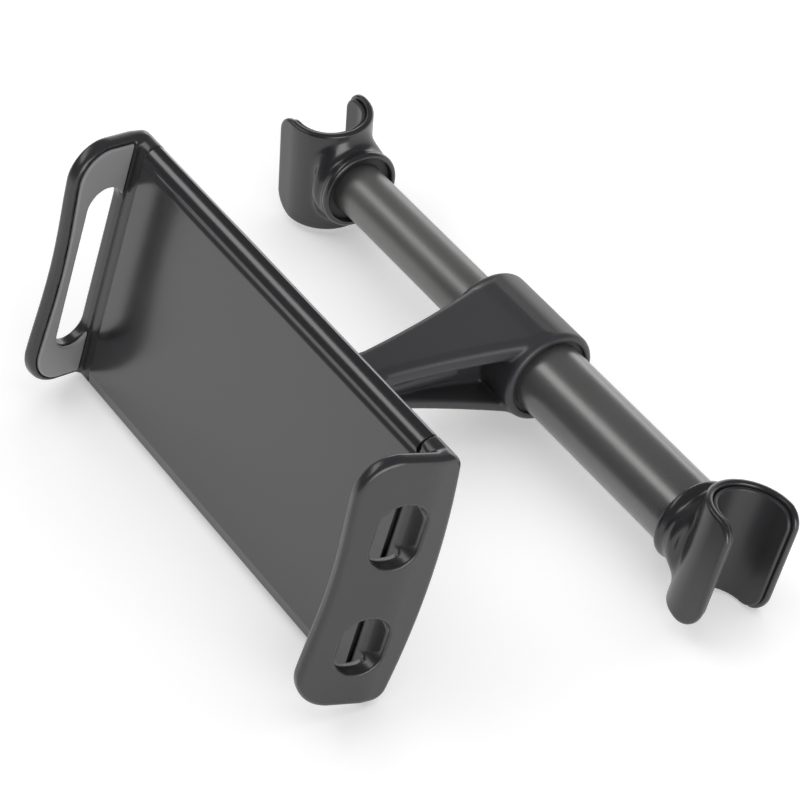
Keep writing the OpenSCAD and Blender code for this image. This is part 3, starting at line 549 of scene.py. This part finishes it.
def round_bar(name, r, low, high, at, sides=48):
    """A cylinder along Y."""
    mesh = bpy.data.meshes.new(name)
    tools = bmesh.new()
    place = Matrix.Translation((at[0] * MM, (low + high) / 2 * MM, at[1] * MM))
    place = place @ Matrix.Rotation(math.pi / 2, 4, "X")
    bmesh.ops.create_cone(
        tools, cap_ends=True, segments=sides, radius1=r * MM, radius2=r * MM,
        depth=(high - low) * MM, matrix=place,
    )
    tools.to_mesh(mesh)
    tools.free()
    piece = bpy.data.objects.new(name, mesh)
    bpy.context.scene.collection.objects.link(piece)
    return piece


def carve(piece, tool, kind="DIFFERENCE"):
    mod = piece.modifiers.new("carve", "BOOLEAN")
    mod.operation = kind
    mod.solver = "EXACT"
    mod.object = tool
    apply_modifiers(piece)
    bpy.data.objects.remove(tool)


def crisp(piece):
    """Smooth shading that keeps flats flat and true corners sharp."""
    piece.data.shade_smooth()
    piece.data.set_sharp_from_angle(angle=math.radians(50))
    mod = piece.modifiers.new("even", "WEIGHTED_NORMAL")
    mod.keep_sharp = True
    apply_modifiers(piece)


def plain_box(name, low, high):
    return bevelled_box(name, low, high, 0)


def make_tray():
    place = Matrix.Translation((SLEEVE_X * MM, TRAY_Y * MM, TRAY_Z * MM))
    section = tray_points()
    screws = [(sx * BACK_SCREW_X, sz * BACK_SCREW_Z) for sx in (-1, 1) for sz in (-1, 1)]
    front = sweep("tray_front_shell", clipped(section, TRAY_JOINT, True, 0.15), TRAY_HALF, 0.15)
    carve(front, plain_box("room", (-ROOM_HALF, ROOM_Y, -ROOM_HALF_H), (ROOM_HALF, 9.0, ROOM_HALF_H)))
    carve(front, plain_box("window", (-57, ROOM_Y, -WINDOW_HALF_H), (57, 4.4, WINDOW_HALF_H)))
    for at in screws:
        carve(front, round_bar("boss", 2.2, 1.8, 4.6, at), "UNION")
        carve(front, round_bar("hole", PILOT_R, 2.25, 6, at))
    for side in (-1, 1):
        at = (side * SPRING_POST_X, -side * SPRING_POST_Z)
        carve(front, round_bar("post", 1.0, 1.8, 4.6, at), "UNION")
    back = sweep("tray_back_shell", clipped(section, TRAY_JOINT + 0.05, False, 0.15), TRAY_HALF, 0.15)
    inner = [(ROOM_Y, -ROOM_HALF_H), (ROOM_Y, ROOM_HALF_H)] + [
        (TRAY_DEPTH - TRAY_BOW + (TRAY_BOW - 1.8) * math.cos(a), (TRAY_BOW - 1.8) * math.sin(a))
        for a in [0.227 - 0.454 * i / 20 for i in range(21)]
    ]
    room = sweep("room", inner, ROOM_HALF, 0)
    carve(back, room)
    boss = round_bar("boss", SOCKET_BOSS_R, 5.5, 8.2, (0, SOCKET_Z), 96)
    carve(back, boss, "UNION")
    carve(back, round_bar("seat", SOCKET_SEAT_R, 3, 7.2, (0, SOCKET_Z), 96))
    carve(back, round_bar("mouth", SOCKET_MOUTH_R, 3, 12, (0, SOCKET_Z), 96))
    for at in screws:
        carve(back, round_bar("pillar", 3.1, 4.9, 5.9, at), "UNION")
        carve(back, round_bar("hole", PILOT_R, 3, 12, at))
        carve(back, round_bar("seat", 2.15, 5.02, 12, at))
    for k in range(4):
        turn = math.radians(45 + 90 * k)
        at = (SWIVEL_SCREW_RING * math.cos(turn), SOCKET_Z + SWIVEL_SCREW_RING * math.sin(turn))
        carve(back, round_bar("hole", 0.65, 3, 7.1, at, 24))
    for piece, made, node in ((front, tray_grey, "tray_front"), (back, gloss_black, "tray_back")):
        crisp(piece)
        carry(piece, place)
        finish_piece(piece, "cradle", made, node)


def bevelled_box(name, low, high, edge):
    mesh = bpy.data.meshes.new(name)
    corners = [(x, y, z) for x in (low[0], high[0]) for y in (low[1], high[1]) for z in (low[2], high[2])]
    faces = [(0, 1, 3, 2), (4, 6, 7, 5), (0, 4, 5, 1), (2, 3, 7, 6), (0, 2, 6, 4), (1, 5, 7, 3)]
    mesh.from_pydata([tuple(v * MM for v in c) for c in corners], [], faces)
    piece = bpy.data.objects.new(name, mesh)
    bpy.context.scene.collection.objects.link(piece)
    if edge:
        mod = piece.modifiers.new("edge", "BEVEL")
        mod.width = edge * MM
        mod.segments = 2
        apply_modifiers(piece)
    return piece


# Materials

def material(name, color, rough, bump=0.0, grain=900.0, spread=0.06, coat=0.0, metal=0.0, specular=0.5):
    """A moulded or coated surface: its colour and gloss vary a little, over a fine grain."""
    made = bpy.data.materials.new(name)
    made.use_nodes = True
    tree = made.node_tree
    nodes = tree.nodes
    links = tree.links
    shader = nodes["Principled BSDF"]
    shader.inputs["Metallic"].default_value = metal
    shader.inputs["Specular IOR Level"].default_value = specular
    shader.inputs["Coat Weight"].default_value = coat
    shader.inputs["Coat Roughness"].default_value = 0.12
    place = nodes.new("ShaderNodeTexCoord")
    cloud = nodes.new("ShaderNodeTexNoise")
    cloud.inputs["Scale"].default_value = 60
    cloud.inputs["Detail"].default_value = 3
    links.new(place.outputs["Object"], cloud.inputs["Vector"])
    tint = nodes.new("ShaderNodeMapRange")
    tint.inputs["To Min"].default_value = 1 - spread
    tint.inputs["To Max"].default_value = 1 + spread
    links.new(cloud.outputs["Fac"], tint.inputs["Value"])
    shade = nodes.new("ShaderNodeMix")
    shade.data_type = "RGBA"
    shade.blend_type = "MULTIPLY"
    shade.inputs["Factor"].default_value = 1
    shade.inputs["A"].default_value = (*color, 1)
    links.new(tint.outputs["Result"], shade.inputs["B"])
    links.new(shade.outputs["Result"], shader.inputs["Base Color"])
    gloss = nodes.new("ShaderNodeMapRange")
    gloss.inputs["To Min"].default_value = rough - 0.03
    gloss.inputs["To Max"].default_value = rough + 0.03
    links.new(cloud.outputs["Fac"], gloss.inputs["Value"])
    links.new(gloss.outputs["Result"], shader.inputs["Roughness"])
    if bump:
        fine = nodes.new("ShaderNodeTexNoise")
        fine.inputs["Scale"].default_value = grain
        fine.inputs["Detail"].default_value = 2
        links.new(place.outputs["Object"], fine.inputs["Vector"])
        relief = nodes.new("ShaderNodeBump")
        relief.inputs["Strength"].default_value = bump
        relief.inputs["Distance"].default_value = 0.0001
        links.new(fine.outputs["Fac"], relief.inputs["Height"])
        links.new(relief.outputs["Normal"], shader.inputs["Normal"])
    return made


def paint(piece, made):
    piece.data.materials.clear()
    piece.data.materials.append(made)


def finish_piece(piece, body, made, *nodes):
    paint(piece, made)
    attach(piece, body)
    if nodes:
        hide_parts(*nodes)


gloss_black = material("gloss_black", (0.02, 0.02, 0.022), 0.26, bump=0.04, specular=0.7)
jaw_black = material("jaw_black", (0.024, 0.024, 0.026), 0.26, bump=0.05, specular=0.6)
arm_black = material("arm_black", (0.034, 0.034, 0.037), 0.4, bump=0.06)
tray_grey = material("tray_grey", (0.018, 0.018, 0.02), 0.2, bump=0.05, specular=0.9)
liner_rubber = material("liner_rubber", (0.026, 0.026, 0.028), 0.36, bump=0.1)
pad_rubber = material("pad_rubber", (0.24, 0.24, 0.245), 0.5, bump=0.15)
tube_coat = material("tube_coat", (0.17, 0.17, 0.168), 0.28, bump=0.12, grain=1600, metal=0.6)
slim_coat = material("slim_coat", (0.19, 0.19, 0.187), 0.38, bump=0.12, grain=1600, metal=0.6)
nylon_black = material("nylon_black", (0.012, 0.012, 0.012), 0.5)
plated_steel = material("plated_steel", (0.5, 0.5, 0.52), 0.28, metal=1.0)

make_hooks()
make_arm()
make_jaws()
make_tray()

CAD_FINISH = {
    tube_coat: ["outer_tube"],
    slim_coat: ["inner_tube"],
    gloss_black: ["socket_cup", "ring_nut"],
    nylon_black: [
        "mouth_bush", "guide_ring", "spring_plug", "left_tube_adapter",
        "left_sleeve_bush", "right_sleeve_bush", "ball_seat",
    ],
    plated_steel: [
        "right_hook_screw", "left_hook_screw", "sleeve_clip", "rod_spring", "ball_stud", "swivel_plate",
        "swivel_screws", "back_screws", "left_jaw_spring", "right_jaw_spring",
    ],
}
for made, names in CAD_FINISH.items():
    for name in names:
        paint(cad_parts[name], made)


# Stage, lights and camera

FLOOR_TILT = 17.0
FLOOR_GLOW = 0.35


def stage_floor():
    mesh = bpy.data.meshes.new("floor")
    size = 3.0
    corners = [(-size, -size, 0), (size, -size, 0), (size, size, 0), (-size, size, 0)]
    mesh.from_pydata(corners, [], [(0, 1, 2, 3)])
    floor = bpy.data.objects.new("floor", mesh)
    bpy.context.scene.collection.objects.link(floor)
    floor.rotation_euler = (math.radians(FLOOR_TILT), 0, 0)
    floor.location = (SLEEVE_X * MM, TRAY_Y * MM, -0.0405)
    made = bpy.data.materials.new("floor_white")
    made.use_nodes = True
    nodes = made.node_tree.nodes
    links = made.node_tree.links
    nodes.clear()
    out = nodes.new("ShaderNodeOutputMaterial")
    matte = nodes.new("ShaderNodeBsdfDiffuse")
    matte.inputs["Color"].default_value = (0.8, 0.8, 0.8, 1)
    glow = nodes.new("ShaderNodeEmission")
    glow.inputs["Strength"].default_value = FLOOR_GLOW
    add = nodes.new("ShaderNodeAddShader")
    links.new(matte.outputs[0], add.inputs[0])
    links.new(glow.outputs[0], add.inputs[1])
    side = nodes.new("ShaderNodeNewGeometry")
    clear = nodes.new("ShaderNodeBsdfTransparent")
    open_back = nodes.new("ShaderNodeMixShader")
    links.new(side.outputs["Backfacing"], open_back.inputs[0])
    links.new(add.outputs[0], open_back.inputs[1])
    links.new(clear.outputs[0], open_back.inputs[2])
    links.new(open_back.outputs[0], out.inputs[0])
    mesh.materials.append(made)


def soft_light(name, place, aim, size, watts, mirrored=True):
    data = bpy.data.lights.new(name, "AREA")
    data.shape = "RECTANGLE"
    data.size, data.size_y = size
    data.energy = watts
    lamp = bpy.data.objects.new(name, data)
    lamp.location = place
    lamp.visible_glossy = mirrored
    lamp.rotation_euler = (Vector(aim) - Vector(place)).to_track_quat("-Z", "Y").to_euler()
    bpy.context.scene.collection.objects.link(lamp)


def sky():
    """White behind the object; around it a room that is bright low down and dim overhead."""
    world = bpy.data.worlds.new("sky")
    bpy.context.scene.world = world
    world.use_nodes = True
    nodes = world.node_tree.nodes
    links = world.node_tree.links
    nodes.clear()
    out = nodes.new("ShaderNodeOutputWorld")
    place = nodes.new("ShaderNodeTexCoord")
    height = nodes.new("ShaderNodeVectorMath")
    height.operation = "DOT_PRODUCT"
    tilt = math.radians(FLOOR_TILT)
    height.inputs[1].default_value = (0, -math.sin(tilt), math.cos(tilt))
    links.new(place.outputs["Generated"], height.inputs[0])
    ramp = nodes.new("ShaderNodeValToRGB")
    ramp.color_ramp.elements[0].position = 0.0
    ramp.color_ramp.elements[0].color = (0.5, 0.5, 0.5, 1)
    for stop, level in ((0.1, 0.22), (0.3, 0.12), (0.6, 0.1)):
        step = ramp.color_ramp.elements.new(stop)
        step.color = (level, level, level, 1)
    ramp.color_ramp.elements[-1].color = (0.1, 0.1, 0.1, 1)
    links.new(height.outputs["Value"], ramp.inputs["Fac"])
    dim = nodes.new("ShaderNodeBackground")
    links.new(ramp.outputs["Color"], dim.inputs["Color"])
    white = nodes.new("ShaderNodeBackground")
    white.inputs["Color"].default_value = (1, 1, 1, 1)
    path = nodes.new("ShaderNodeLightPath")
    mix = nodes.new("ShaderNodeMixShader")
    links.new(path.outputs["Is Camera Ray"], mix.inputs[0])
    links.new(dim.outputs[0], mix.inputs[1])
    links.new(white.outputs[0], mix.inputs[2])
    links.new(mix.outputs[0], out.inputs[0])


def photo_camera():
    """The photograph's viewpoint: azimuth, height and roll of the camera, and its distance."""
    place = Vector((0.36409, -0.46952, 0.38611))
    right = Vector((0.54985, 0.79426, 0.25851))
    up = Vector((-0.57798, 0.13837, 0.80424))
    back = right.cross(up)
    data = bpy.data.cameras.new("camera")
    data.lens = 144.96
    data.sensor_width = 36
    data.clip_end = 20
    camera = bpy.data.objects.new("camera", data)
    axes = Matrix((right, up, back)).transposed().to_4x4()
    camera.matrix_world = Matrix.Translation(place) @ axes
    bpy.context.scene.collection.objects.link(camera)
    bpy.context.scene.camera = camera


stage_floor()
sky()
MIDDLE = (-0.083, -0.04, 0)
soft_light("right_box", (0.95, -0.3, 0.25), MIDDLE, (0.9, 0.6), 7.0)
soft_light("left_strip", (-0.72, -0.72, 0.7), MIDDLE, (1.2, 0.34), 3.4)
soft_light("back_low", (-0.74, 0.8, 0.28), MIDDLE, (1.4, 0.5), 4.5)
soft_light("over_box", (-0.1, 0.0, 1.1), MIDDLE, (1.8, 1.8), 12.0, mirrored=False)
photo_camera()
bpy.context.scene.view_settings.view_transform = "Standard"
